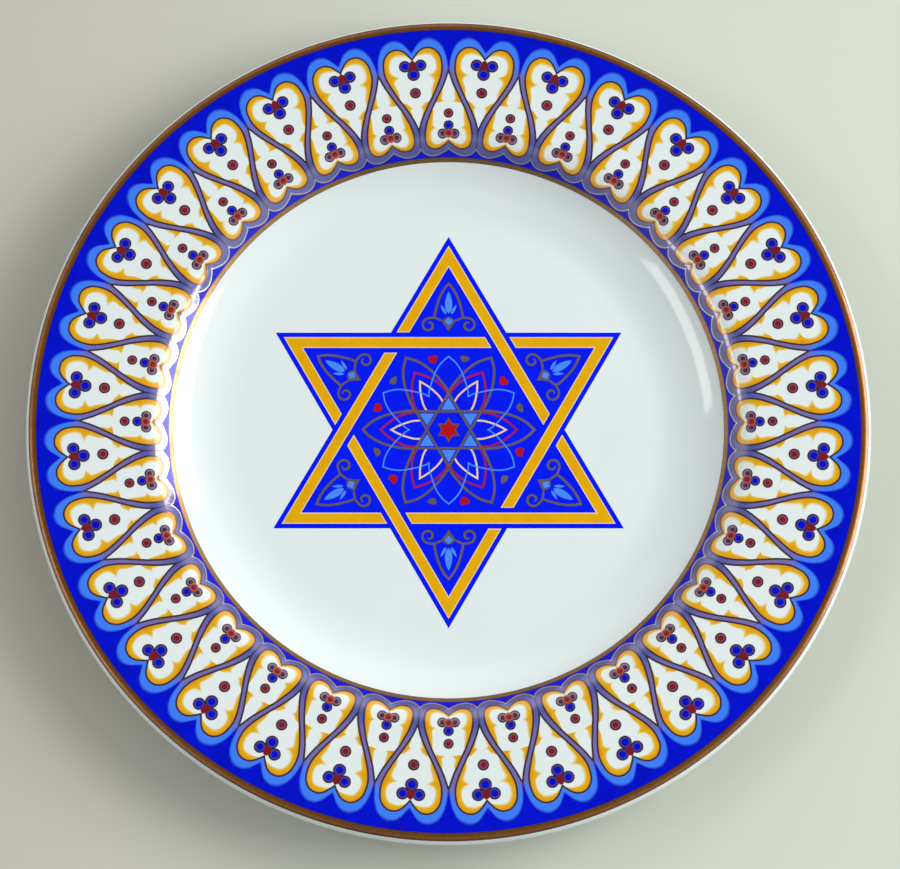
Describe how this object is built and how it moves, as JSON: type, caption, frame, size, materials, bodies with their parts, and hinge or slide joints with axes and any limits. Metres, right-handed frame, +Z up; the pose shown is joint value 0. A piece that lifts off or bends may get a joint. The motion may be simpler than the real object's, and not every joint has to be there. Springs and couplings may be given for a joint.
{
  "type": "seder plate",
  "caption": "Round footed porcelain plate with a wide enamelled rim of hearts, gold bands and an interlaced star in the well, for holding foods at a ritual meal.",
  "frame": {"origin": "centre of the foot ring, on the surface that the plate stands on", "axes": "+Z up along the plate's axis, +Y through the upper point of the star"},
  "size_m": [0.3048, 0.3048, 0.0239],
  "materials": {
    "porcelain": "clear gloss glaze over white porcelain, bare on the tread",
    "gold": "burnished fired gold",
    "cobalt_enamel": "glossy fired enamel",
    "amber_enamel": "glossy fired enamel",
    "sky_enamel": "glossy fired enamel",
    "red_enamel": "glossy fired enamel"
  },
  "bodies": {
    "root": {"porcelain_body": "porcelain", "rim_gold_band": "gold", "well_gold_band": "gold", "border_ground": "cobalt_enamel", "star_ground": "cobalt_enamel", "pointed_up_ribbons": "amber_enamel", "pointed_down_ribbons": "amber_enamel", "palmette_frames": "gold", "palmette_lilies": "sky_enamel", "knot_line": "gold", "knot_points": "sky_enamel", "core_star": "red_enamel", "gilt_petals": "gold", "sky_petals": "sky_enamel", "red_buds": "red_enamel", "gilt_leaves": "gold"}
  },
  "joints": []
}
